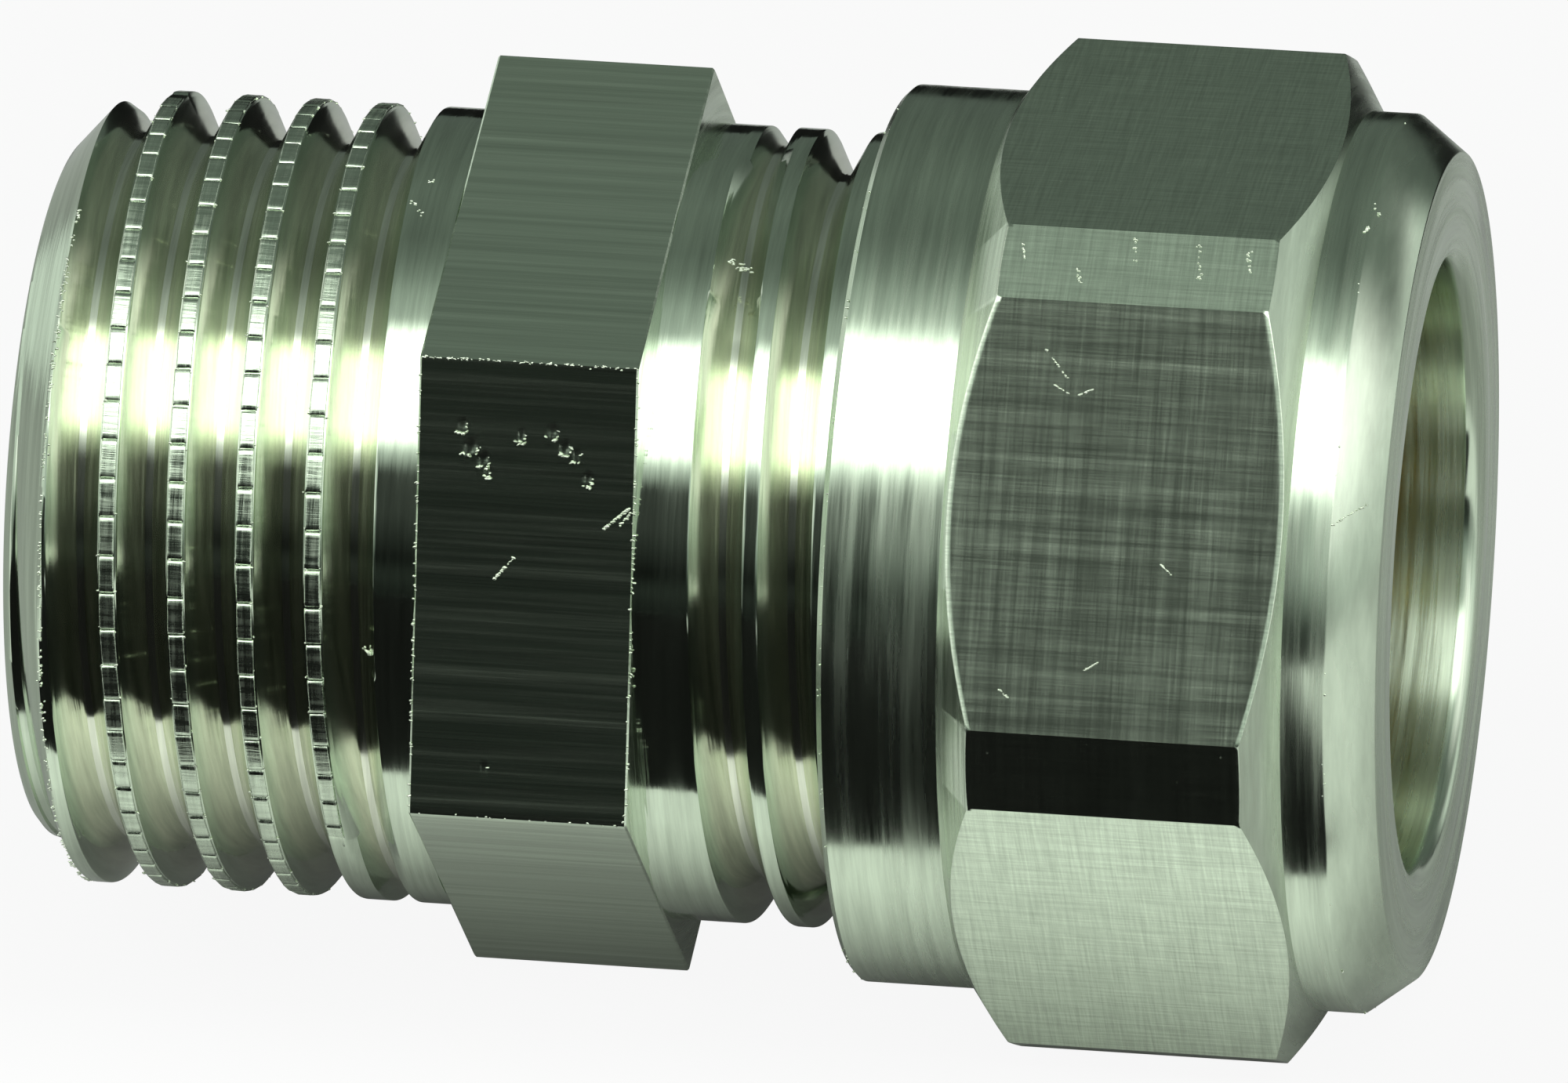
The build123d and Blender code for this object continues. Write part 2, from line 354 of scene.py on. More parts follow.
@dataclass
class Skin:
    """Closed skin round the tube axis, made of rings of points that share one set of angles."""

    angles: np.ndarray
    points: list[np.ndarray] = field(default_factory=list)
    faces: list[np.ndarray] = field(default_factory=list)
    finishes: list[np.ndarray] = field(default_factory=list)
    count: int = 0

    def ring(self, x: float | np.ndarray, radius: float | np.ndarray) -> np.ndarray:
        """Adds a ring of points.

        Args:
            x: Place along the axis, one for all angles or one for each.
            radius: Distance from the axis, likewise.

        Returns:
            Numbers of the points.
        """
        shape = np.zeros(len(self.angles))
        return self.place(x + shape, self.angles, radius + shape)

    def place(self, x: np.ndarray, angle: np.ndarray, radius: np.ndarray) -> np.ndarray:
        """Adds points by place along the axis, angle and radius, and returns their numbers."""
        turn = np.radians(angle)
        self.points.append(np.stack([x, -radius * np.sin(turn), radius * np.cos(turn)], axis=1))
        numbers = np.arange(self.count, self.count + len(x))
        self.count += len(x)
        return numbers

    def cover(self, rows: np.ndarray, finish: int) -> None:
        """Joins rows of points with faces, leaving out the sides that have shrunk to a point.

        Args:
            rows: Numbers of the points, one row per ring, with the first column repeated last.
            finish: Place of the faces' finish in the material list.
        """
        low, high = rows[:-1], rows[1:]
        quads = np.stack([low[:, :-1], low[:, 1:], high[:, 1:], high[:, :-1]], axis=2).reshape(-1, 4)
        near = quads[:, 0] == quads[:, 3]
        far = quads[:, 1] == quads[:, 2]
        for faces in (quads[~near & ~far], quads[near & ~far][:, :3], quads[far & ~near][:, [0, 1, 3]]):
            self.faces.append(faces)
            self.finishes.append(np.full(len(faces), finish))

    def band(self, rings: list[np.ndarray], finish: int) -> None:
        """Joins rings in order with faces of one finish."""
        rows = np.stack(rings)
        self.cover(np.hstack([rows, rows[:, :1]]), finish)

    def thread(
        self, low: np.ndarray, high: np.ndarray, span: tuple[float, float], offsets: np.ndarray,
        crest_x: float, radius: Radius, finish: int,
    ) -> None:
        """Covers the space between two rings with rows of points that follow the thread.

        Args:
            low: Ring at the start of the span.
            high: Ring at its end.
            span: Places of the two rings along the axis.
            offsets: Rows within one pitch, from the middle of a crest, rising.
            crest_x: Where a crest crosses the angle 0.
            radius: Radius by place along the axis and angle.
            finish: Place of the faces' finish in the material list.
        """
        close = 0.02
        turn = self.angles / 360
        first = math.floor((span[0] - crest_x) / PITCH - turn[-1]) - 1
        last = math.ceil((span[1] - crest_x) / PITCH - turn[0]) + 1
        starts = np.concatenate([crest_x + PITCH * k + offsets for k in range(first, last)])
        x = starts[:, None] + PITCH * turn[None, :]
        angle = np.broadcast_to(self.angles, x.shape)
        inside = (x > span[0] + close) & (x < span[1] - close)
        rows = np.where(x <= span[0] + close, low[None, :], high[None, :])
        rows[inside] = self.place(x[inside], angle[inside], radius(x[inside], angle[inside]))
        after = np.concatenate([rows[len(offsets) :, 0], np.full(len(offsets), high[0])])
        self.cover(np.hstack([rows, after[:, None]]), finish)

    def piece(self, name: str, materials: list[Material]) -> Piece:
        """Turns the skin into an object.

        Args:
            name: Name of the object and its mesh.
            materials: Finishes in the order that the faces name them.

        Returns:
            The object, at the origin.
        """
        mesh = bpy.data.meshes.new(name)
        faces = [face for part in self.faces for face in part.tolist()]
        mesh.from_pydata((np.concatenate(self.points) * MM).tolist(), [], faces)
        for material in materials:
            mesh.materials.append(material)
        mesh.polygons.foreach_set("material_index", np.concatenate(self.finishes).astype(np.int32))
        mesh.polygons.foreach_set("use_smooth", np.ones(len(faces), dtype=bool))
        mesh.set_sharp_from_angle(angle=math.radians(SHARP_ANGLE))
        mesh.validate()
        return placed(name, mesh)


def thread_offsets() -> np.ndarray:
    """Rows across one pitch of the thread, close together where its edges are rounded."""
    half = [0.1, 0.165, 0.2, 0.24, 0.5, 0.76, 0.81, 0.86]
    return np.array([-PITCH / 2, *[-v for v in reversed(half)], *half])


def groove(
    x: np.ndarray, angle: np.ndarray, start_x: float, first: float, last: float, fade: float
) -> np.ndarray:
    """Radius of the metal left by a single groove that follows the thread.

    Args:
        x: Places along the axis.
        angle: Angles.
        start_x: Where the groove's middle crosses the angle 0.
        first: Angle at which the groove starts, counted on from 0 through every turn.
        last: Angle at which it is still full.
        fade: Angle over which it then runs out, below zero if it fades before its start.

    Returns:
        Radius at each point.
    """
    turns = np.round((x - start_x) / PITCH - angle / 360)
    along = turns * 360 + angle
    away = np.abs(x - start_x - PITCH * along / 360)
    past = np.maximum(along - last, 0) if fade > 0 else np.maximum(first - along, 0)
    lift = past / abs(fade) * (THREAD_DEPTH + 0.1)
    wall = np.maximum(away - ROOT_HALF_WIDTH, 0) / FLANK_SLOPE
    return soft_min(soft_max(wall, 0.0, 0.09) + ROOT_RADIUS + lift, THREAD_RADIUS, 0.05)


@dataclass
class Body:
    """One-piece body: pipe thread end, hexagon and compression end."""

    face_x: float = -17.5
    hex_x: float = -6.35
    hex_end_x: float = -0.6
    mouth_x: float = 12.0
    face_radius: float = 9.05
    face_bevel: float = 1.25
    waterway_radius: float = 6.5
    waterway_bevel: float = 0.5
    socket_radius: float = 7.6
    seat_x: float = 9.75
    seat_radius: float = 8.9
    mouth_bevel: float = 1.1
    hex_flat: float = 10.4975
    hex_turn: float = 14.7
    left_crest_x: float = PIPE_CREST_X
    left_end: float = 1885.0
    right_crest_x: float = CLAMP_CREST_X
    right_start: float = 33.0
    fade: float = 120.0
    knurl_depth: float = 0.05
    knurl_end: float = 1200.0
    dents: tuple[tuple[float, float, float], ...] = (
        (-5.18, 52.4, 0.16), (-4.96, 55.1, 0.24), (-4.62, 56.6, 0.2), (-4.5, 57.9, 0.13),
        (-3.63, 53.2, 0.14), (-2.81, 52.5, 0.17), (-2.49, 54.5, 0.2), (-2.18, 55.4, 0.12),
        (-1.86, 58.3, 0.17), (-4.4, 99.0, 0.12),
    )

    def pipe_radius(self, x: np.ndarray, angle: np.ndarray) -> np.ndarray:
        """Radius of the pipe thread end."""
        cut = groove(x, angle, self.left_crest_x - PITCH * 1.5, -720, self.left_end, self.fade)
        bevel = self.face_radius + (x - self.face_x) * (THREAD_RADIUS - self.face_radius) / self.face_bevel
        turns = np.round((x - self.left_crest_x) / PITCH - angle / 360)
        away = np.abs(x - self.left_crest_x - PITCH * (turns + angle / 360))
        along = turns * 360 + angle
        under_pads = (away < CREST_HALF_WIDTH + 0.02) & (along > -20) & (along < self.knurl_end)
        cut = np.where(under_pads, np.minimum(cut, THREAD_RADIUS - self.knurl_depth), cut)
        return soft_min(cut, bevel, 0.06)

    def pipe_end(self, finishes: list[Material]) -> Piece:
        """Builds the pipe thread end.

        Args:
            finishes: Thread finish and turned finish.

        Returns:
            The piece.
        """
        skin = Skin(np.arange(ROUND_COLUMNS) * ROUND_STEP)
        start = self.face_x + 0.03
        low = skin.ring(start, self.pipe_radius(np.full(ROUND_COLUMNS, start), skin.angles))
        high = skin.ring(self.hex_x, THREAD_RADIUS)
        skin.thread(low, high, (start, self.hex_x), thread_offsets(), self.left_crest_x, self.pipe_radius, 0)
        bore_end = skin.ring(self.hex_x, self.waterway_radius)
        bore = skin.ring(self.face_x + self.waterway_bevel, self.waterway_radius)
        inner = skin.ring(self.face_x, self.waterway_radius + self.waterway_bevel)
        outer = skin.ring(self.face_x, self.face_radius - 0.04)
        skin.band([high, bore_end, bore, inner, outer, low], 1)
        return skin.piece("pipe_end", finishes)

    def clamp_radius(self, x: np.ndarray, angle: np.ndarray) -> np.ndarray:
        """Radius of the compression end."""
        start_x = self.right_crest_x - PITCH / 2
        cut = groove(x, angle, start_x, self.right_start, 1e6, -self.fade)
        bevel = THREAD_RADIUS + (self.mouth_x - self.mouth_bevel - x)
        return soft_min(cut, bevel, 0.06)

    def clamp_end(self, finishes: list[Material]) -> Piece:
        """Builds the compression end.

        Args:
            finishes: Thread finish and turned finish.

        Returns:
            The piece.
        """
        skin = Skin(np.arange(ROUND_COLUMNS) * ROUND_STEP)
        end = self.mouth_x - 0.03
        low = skin.ring(self.hex_end_x, THREAD_RADIUS)
        high = skin.ring(end, self.clamp_radius(np.full(ROUND_COLUMNS, end), skin.angles))
        span = (self.hex_end_x, end)
        skin.thread(low, high, span, thread_offsets(), self.right_crest_x, self.clamp_radius, 0)
        profile = [
            (self.mouth_x, self.seat_radius), (self.seat_x, self.socket_radius), (0.0, self.socket_radius),
            (0.0, self.waterway_radius), (self.hex_end_x, self.waterway_radius),
        ]
        last_radius = self.clamp_radius(np.full(ROUND_COLUMNS, end), skin.angles)
        rim = skin.ring(self.mouth_x, np.minimum(THREAD_RADIUS - self.mouth_bevel, last_radius) - 0.02)
        skin.band([high, rim, *[skin.ring(x, r) for x, r in profile], low], 1)
        return skin.piece("clamp_end", finishes)

    def dented(self, x: float, angles: np.ndarray, flat: np.ndarray) -> np.ndarray:
        """Depth of the knocks in the hexagon's front flat.

        Args:
            x: Place along the axis.
            angles: Angles.
            flat: Radius without the knocks.

        Returns:
            Depth at each angle.
        """
        depth = np.zeros(len(angles))
        for dent_x, dent_angle, size in self.dents:
            around = np.radians(angles % 360 - dent_angle) * flat
            lean = (x - dent_x) + 0.5 * around
            away = (np.abs(lean) + np.abs(around * 0.8 - 0.3 * lean)) / size
            rim = np.exp(-((away - 1.2) ** 2) / 0.03) * 0.012
            depth += np.clip(1.1 - away, 0, 1) * 0.035 - rim
        return depth

    def hexagon(self, finishes: list[Material]) -> Piece:
        """Builds the hexagon between the two threaded ends.

        Args:
            finishes: Drawn finish for the flats and turned finish for the sides.

        Returns:
            The piece.
        """
        angles = self.hex_turn + 30 + np.arange(HEXAGON_COLUMNS) * HEXAGON_STEP
        skin = Skin(angles)
        flat = hexagon_radius(angles, self.hex_turn, self.hex_flat, 0.05)
        edge = 0.05
        steps = np.linspace(self.hex_x + edge, self.hex_end_x - edge, 90)
        rings = [skin.ring(self.hex_x, flat - edge)]
        rings += [skin.ring(x, flat - self.dented(x, angles, flat)) for x in steps]
        rings.append(skin.ring(self.hex_end_x, flat - edge))
        skin.band(rings, 0)
        inner = [skin.ring(self.hex_end_x, self.waterway_radius), skin.ring(self.hex_x, self.waterway_radius)]
        skin.band([rings[-1], *inner, rings[0]], 1)
        return skin.piece("body_hexagon", finishes)


def hexagon_radius(angles: np.ndarray, turn: float, flat: float, round_off: float) -> np.ndarray:
    """Radius of a hexagon by angle.

    Args:
        angles: Angles.
        turn: Angle of the middle of one flat.
        flat: Distance of the flats from the axis.
        round_off: How far the corners' edges are blended.

    Returns:
        Radius at each angle.
    """
    away = np.radians((angles - turn + 30) % 60 - 30)
    beside = np.radians(60) - np.abs(away)
    return soft_min(flat / np.cos(away), flat / np.cos(beside), round_off)


@dataclass
class CompressionNut:
    """Hexagon nut with a collar, a neck and the thread that draws the ring tight."""

    rim_x: float = 4.454
    hex_x: float = 7.604
    hex_end_x: float = 16.604
    bevel_x: float = 17.734
    end_x: float = 18.954
    collar_radius: float = 11.7975
    end_radius: float = 10.8475
    hex_flat: float = 11.9975
    hex_corner: float = 13.1975
    left_bevel: float = 36.0
    right_bevel: float = 31.0
    bore_radius: float = 8.0
    bore_rounding: float = 0.5
    seat_x: float = 14.242
    seat_end_x: float = 15.974
    space_radius: float = 9.0
    relief_x: float = 12.052
    relief_width: float = 1.8
    relief_radius: float = 10.6975
    minor_radius: float = 9.5475
    entry_radius: float = 10.7975
    crest_x: float = CLAMP_CREST_X

    def edge_angle(self) -> float:
        """Angle between the middle of a flat and the edge where its corner is cut."""
        return math.degrees(math.atan((self.hex_corner / self.hex_flat - math.cos(math.radians(30))) * 2))

    def thread_radius(self, x: np.ndarray, angle: np.ndarray) -> np.ndarray:
        """Radius of the nut's own thread: the body's ridges with a gap all round."""
        turns = np.round((x - self.crest_x) / PITCH - angle / 360)
        away = np.abs(x - self.crest_x - PITCH * (turns + angle / 360))
        gap = 0.1
        wide = CREST_HALF_WIDTH + gap / math.cos(math.radians(27.5))
        cut = np.minimum(THREAD_RADIUS + gap, THREAD_RADIUS - (away - wide) / FLANK_SLOPE)
        entry = self.entry_radius - (x - self.rim_x)
        return np.maximum(np.maximum(cut, self.minor_radius), entry)

    def build(self, finishes: list[Material]) -> Piece:
        """Builds the nut.

        Args:
            finishes: Turned, drawn and thread finishes.

        Returns:
            The piece.
        """
        edges = [60 * k + side * self.edge_angle() for k in range(1, 7) for side in (-1, 1)]
        near = [round(edge / HEXAGON_STEP) * HEXAGON_STEP for edge in edges]
        evenly = 30 + np.arange(HEXAGON_COLUMNS) * HEXAGON_STEP
        angles = np.sort(np.concatenate([np.setdiff1d(evenly, near), edges]))
        skin = Skin(angles)
        face = hexagon_radius(angles, 0.0, self.hex_flat, 0.05)
        cut = hexagon_radius(angles, 30.0, self.hex_corner, 0.05)
        flat = np.minimum(face, cut)
        rise = flat - self.collar_radius
        left = self.hex_x + rise * math.tan(math.radians(self.left_bevel))
        right = self.hex_end_x - rise * math.tan(math.radians(self.right_bevel))
        collar = [
            skin.ring(self.rim_x, self.collar_radius - 0.15),
            skin.ring(self.rim_x + 0.15, self.collar_radius),
            skin.ring(self.hex_x - 0.03, self.collar_radius),
            skin.ring(self.hex_x, self.collar_radius + 0.005),
        ]
        edge = 0.015
        cone_top = skin.ring(left - edge, flat - edge)
        skin.band([*collar, cone_top], 0)
        rows = [skin.ring(left + edge, flat)]
        rows += [skin.ring(left + edge + (right - left - 2 * edge) * k / 50, flat) for k in range(1, 51)]
        cone_end = skin.ring(right + edge, flat - edge)
        skin.band([cone_top, *rows, cone_end], 1)
        neck = [
            skin.ring(self.hex_end_x, self.collar_radius + 0.005),
            skin.ring(self.hex_end_x + 0.03, self.collar_radius),
            skin.ring(self.bevel_x - 0.03, self.collar_radius),
            skin.ring(self.bevel_x + 0.03, self.collar_radius - 0.03),
            skin.ring(self.end_x - 0.03, self.end_radius + 0.03),
            skin.ring(self.end_x, self.end_radius - 0.03),
        ]
        rounding = [
            skin.ring(
                self.end_x - self.bore_rounding * (1 - math.cos(math.radians(a))),
                self.bore_radius + self.bore_rounding * (1 - math.sin(math.radians(a))),
            )
            for a in range(0, 91, 10)
        ]
        relief_end = self.relief_x + self.relief_width
        inside = [
            skin.ring(self.seat_end_x, self.bore_radius), skin.ring(self.seat_x, self.space_radius),
            skin.ring(relief_end, self.space_radius), skin.ring(relief_end, self.relief_radius),
            skin.ring(self.relief_x, self.relief_radius),
        ]
        last_radius = self.thread_radius(np.full(len(angles), self.relief_x - 0.01), angles)
        thread_end = skin.ring(self.relief_x, last_radius)
        thread_start = skin.ring(self.rim_x, self.entry_radius)
        skin.band([cone_end, *neck, *rounding, *inside, thread_end], 0)
        self.inner_thread(skin, thread_start, thread_end)
        skin.band([thread_start, collar[0]], 0)
        return skin.piece("nut", finishes)

    def inner_thread(self, skin: Skin, start: np.ndarray, end: np.ndarray) -> None:
        """Covers the nut's thread, with its faces turned towards the axis.

        Args:
            skin: Skin of the nut.
            start: Ring at the rim.
            end: Ring at the relief.
        """
        known = len(skin.faces)
        span = (self.rim_x, self.relief_x)
        offsets = np.array([-PITCH / 2, -0.8, -0.34, -0.3, 0.3, 0.34, 0.8])
        skin.thread(start, end, span, offsets, self.crest_x, self.thread_radius, 2)
        for i in range(known, len(skin.faces)):
            skin.faces[i] = skin.faces[i][:, ::-1]


@dataclass
class Growth:
    """Geometry Nodes tree written here, run once and kept as a plain mesh."""

    name: str
    values: dict[str, Any] = field(default_factory=dict)
    tree: Tree = field(init=False)
    given: bpy.types.Node = field(init=False)

    def __post_init__(self) -> None:
        """Opens an empty tree with its way in and its way out."""
        self.tree = bpy.data.node_groups.new(self.name, "GeometryNodeTree")
        self.tree.interface.new_socket("Places", in_out="INPUT", socket_type="NodeSocketGeometry")
        self.tree.interface.new_socket("Piece", in_out="OUTPUT", socket_type="NodeSocketGeometry")
        self.given = self.tree.nodes.new("NodeGroupInput")

    def ask(self, name: str, kind: str, value: Any) -> Socket:
        """Names an input of the tree and the value that the modifier gives it.

        Args:
            name: Name of the input.
            kind: Type of socket, such as "Float".
            value: Value.

        Returns:
            Socket to link from.
        """
        self.tree.interface.new_socket(name, in_out="INPUT", socket_type=f"NodeSocket{kind}")
        self.values[name] = value
        return self.given.outputs[name]

    def math(self, operation: str, *values: Any) -> Socket:
        """Adds a sum, a product or the like of up to three values."""
        links = {f"in{i}": value for i, value in enumerate(values)}
        return add(self.tree, "ShaderNodeMath", operation, **links).outputs[0]

    def harvest(self, shape: Socket, finish: Material, places: np.ndarray) -> Piece:
        """Ends the tree, runs it and keeps what it grew.

        Args:
            shape: Instances that the tree makes.
            finish: Material of the piece.
            places: Points in millimetres that the tree starts from, if it does.

        Returns:
            The piece.
        """
        finish_in = self.ask("Finish", "Material", finish)
        real = add(self.tree, "GeometryNodeRealizeInstances", in0=shape).outputs[0]
        smooth = add(self.tree, "GeometryNodeSetShadeSmooth", in0=real).outputs[0]
        dressed = add(self.tree, "GeometryNodeSetMaterial", Geometry=smooth, Material=finish_in).outputs[0]
        add(self.tree, "NodeGroupOutput", in0=dressed)
        start = bpy.data.meshes.new(self.name + "_places")
        start.from_pydata((places * MM).tolist(), [], [])
        holder = placed(self.name + "_holder", start)
        modifier = holder.modifiers.new(self.name, "NODES")
        modifier.node_group = self.tree
        for item in self.tree.interface.items_tree:
            if item.in_out == "INPUT" and item.name in self.values:
                modifier[item.identifier] = self.values[item.name]
        graph = bpy.context.evaluated_depsgraph_get()
        mesh = bpy.data.meshes.new_from_object(holder.evaluated_get(graph))
        bpy.data.objects.remove(holder)
        mesh.name = self.name
        return placed(self.name, mesh)


@dataclass
class Knurl:
    """Raised pads that a knurling wheel leaves on the crest of the pipe thread, to hold its sealing hemp."""

    count: int = 220
    first_angle: float = KNURL_START - 5 * KNURL_STEP + KNURL_STEP / 2
    step: float = KNURL_STEP
    crest_x: float = PIPE_CREST_X
    radius: float = THREAD_RADIUS
    width: float = 0.42
    gap: float = 0.012
    height: float = 0.14
    lip: float = 0.003
    edge_drop: float = 0.05
    seed: int = 5

    def build(self, finish: Material) -> Piece:
        """Grows the pads along the crest.

        Args:
            finish: Material of the pads.

        Returns:
            The piece.
        """
        grown = Growth("knurl_pads")
        tree = grown.tree
        count = grown.ask("Count", "Int", self.count)
        first = grown.ask("First Angle", "Float", math.radians(self.first_angle))
        step = grown.ask("Step", "Float", math.radians(self.step))
        crest = grown.ask("Crest Place", "Float", self.crest_x * MM)
        radius = grown.ask("Crest Radius", "Float", self.radius * MM)
        width = grown.ask("Pad Width", "Float", self.width * MM)
        height = grown.ask("Pad Height", "Float", self.height * MM)
        length_size = math.radians(self.step) * self.radius - self.gap
        length = grown.ask("Pad Length", "Float", length_size * MM)
        lip = grown.ask("Lip", "Float", self.lip * MM)
        drop = grown.ask("Edge Drop", "Float", self.edge_drop * MM)
        seed = grown.ask("Seed", "Int", self.seed)
        index = add(tree, "GeometryNodeInputIndex").outputs[0]
        angle = grown.math("MULTIPLY_ADD", index, step, first)
        x = grown.math("MULTIPLY_ADD", angle, PITCH * MM / math.tau, crest)
        y = grown.math("MULTIPLY", grown.math("SINE", angle), grown.math("MULTIPLY", radius, -1.0))
        z = grown.math("MULTIPLY", grown.math("COSINE", angle), radius)
        place = add(tree, "ShaderNodeCombineXYZ", in0=x, in1=y, in2=z).outputs[0]
        points = add(tree, "GeometryNodePoints", in0=count, in1=place).outputs[0]
        pad = self.pad(grown, width, length, height, lip, drop)
        facing = add(tree, "ShaderNodeCombineXYZ", in0=angle).outputs[0]
        turned = add(tree, "FunctionNodeEulerToRotation", in0=facing).outputs[0]
        lean = math.atan(PITCH / (math.tau * self.radius))
        wobble = add(
            tree, "FunctionNodeRandomValue", {"data_type": "FLOAT_VECTOR"}, in0=(-0.02, -0.03, lean - 0.03),
            in1=(0.02, 0.03, lean + 0.03), Seed=seed,
        ).outputs[0]
        tilt = add(tree, "FunctionNodeEulerToRotation", in0=wobble).outputs[0]
        settled = add(
            tree, "FunctionNodeRotateRotation", {"rotation_space": "LOCAL"}, in0=turned, in1=tilt
        ).outputs[0]
        size = add(
            tree, "FunctionNodeRandomValue", {"data_type": "FLOAT_VECTOR"}, in0=(0.93, 0.97, 0.9),
            in1=(1.03, 1.03, 1.05), Seed=grown.math("ADD", seed, 1.0),
        ).outputs[0]
        pads = add(
            tree, "GeometryNodeInstanceOnPoints", Points=points, Instance=pad, Rotation=settled, Scale=size
        ).outputs[0]
        return grown.harvest(pads, finish, np.zeros((0, 3)))

    def pad(self, grown: Growth, width: Any, length: Any, height: Any, lip: Any, drop: Any) -> Socket:
        """Shapes one pad: a low block with rounded ends and a lip along both long sides.

        Args:
            grown: Tree that the nodes go into.
            width: Size along the axis.
            length: Size along the crest.
            height: Height, of which the lower half is sunk in the crest.
            lip: How far the metal is pushed up at the long sides.
            drop: How far the edges round down.

        Returns:
            Mesh of the pad, with its top at the radius of the crest.
        """
        tree = grown.tree
        size = add(tree, "ShaderNodeCombineXYZ", in0=width, in1=length, in2=height).outputs[0]
        block = add(tree, "GeometryNodeMeshCube", in0=size, in1=7, in2=6, in3=2).outputs[0]
        place = add(tree, "GeometryNodeInputPosition").outputs[0]
        split = add(tree, "ShaderNodeSeparateXYZ", in0=place).outputs
        half_width, half_length = (grown.math("MULTIPLY", side, 0.5) for side in (width, length))
        across = grown.math("POWER", grown.math("DIVIDE", grown.math("ABSOLUTE", split[0]), half_width), 0.5)
        along = grown.math("POWER", grown.math("DIVIDE", grown.math("ABSOLUTE", split[1]), half_length), 0.25)
        x = grown.math("MULTIPLY", grown.math("MULTIPLY", across, half_width), grown.math("SIGN", split[0]))
        y = grown.math("MULTIPLY", grown.math("MULTIPLY", along, half_length), grown.math("SIGN", split[1]))
        on_top = grown.math("GREATER_THAN", split[2], 0.0)
        raised = grown.math("MULTIPLY", grown.math("POWER", across, 4.0), lip)
        side_edges = grown.math("MULTIPLY", grown.math("POWER", across, 24.0), 0.3)
        edges = grown.math("ADD", side_edges, grown.math("POWER", along, 40.0))
        rounded = grown.math("SUBTRACT", raised, grown.math("MULTIPLY", edges, drop))
        bend = grown.math("DIVIDE", grown.math("MULTIPLY", y, y), 2 * self.radius * MM)
        lift = grown.math("SUBTRACT", grown.math("MULTIPLY", on_top, rounded), bend)
        level = grown.math("SUBTRACT", grown.math("ADD", split[2], lift), grown.math("MULTIPLY", height, 0.5))
        shaped = add(tree, "ShaderNodeCombineXYZ", in0=x, in1=y, in2=level).outputs[0]
        return add(tree, "GeometryNodeSetPosition", Geometry=block, Position=shaped).outputs[0]


@dataclass
class Burrs:
    """Flecks of metal that a tool pushes up: along edges, beside cuts and in scratches."""

    name: str
    seed: int
    places: list[np.ndarray] = field(default_factory=list)

    def __post_init__(self) -> None:
        """Starts the seeded numbers that scatter the flecks."""
        self.chance = np.random.default_rng(self.seed)

    def line(
        self, start: tuple[float, float, float], end: tuple[float, float, float], count: int,
        scatter: float = 0.02, keep: float = 1.0,
    ) -> None:
        """Scatters flecks along a line that runs evenly in x, angle and radius.

        Args:
            start: Place along the axis, angle and radius where the line starts.
            end: The same where it ends.
            count: Number of flecks.
            scatter: How far they stray from the line, in millimetres.
            keep: Share of the flecks that is kept.
        """
        share = np.sort(self.chance.random(count))
        share = share[self.chance.random(count) < keep]
        x, angle, radius = (a + (b - a) * share for a, b in zip(start, end))
        stray = self.chance.normal(0, scatter, (2, len(share)))
        turn = np.radians(angle + np.degrees(stray[1] / radius))
        self.places.append(np.stack([x + stray[0], -radius * np.sin(turn), radius * np.cos(turn)], axis=1))

    def build(self, finish: Material, small: tuple[float, ...], large: tuple[float, ...]) -> Piece:
        """Grows the flecks.

        Args:
            finish: Material of the flecks.
            small: Smallest half sizes along x, y and z, in millimetres.
            large: Largest half sizes.

        Returns:
            The piece.
        """
        grown = Growth(self.name)
        tree = grown.tree
        places = grown.given.outputs["Places"]
        least = grown.ask("Smallest", "Vector", tuple(v * MM for v in small))
        most = grown.ask("Largest", "Vector", tuple(v * MM for v in large))
        seed = grown.ask("Seed", "Int", self.seed)
        fleck = add(tree, "GeometryNodeMeshUVSphere", in0=8, in1=5, in2=1.0).outputs[0]
        size = add(
            tree, "FunctionNodeRandomValue", {"data_type": "FLOAT_VECTOR"}, in0=least, in1=most, Seed=seed
        ).outputs[0]
        turn = add(
            tree, "FunctionNodeRandomValue", {"data_type": "FLOAT_VECTOR"}, in0=(-0.6, -0.6, -0.6),
            in1=(0.6, 0.6, 0.6), Seed=grown.math("ADD", seed, 1.0),
        ).outputs[0]
        flecks = add(
            tree, "GeometryNodeInstanceOnPoints", Points=places, Instance=fleck, Rotation=turn, Scale=size
        ).outputs[0]
        return grown.harvest(flecks, finish, np.concatenate(self.places))


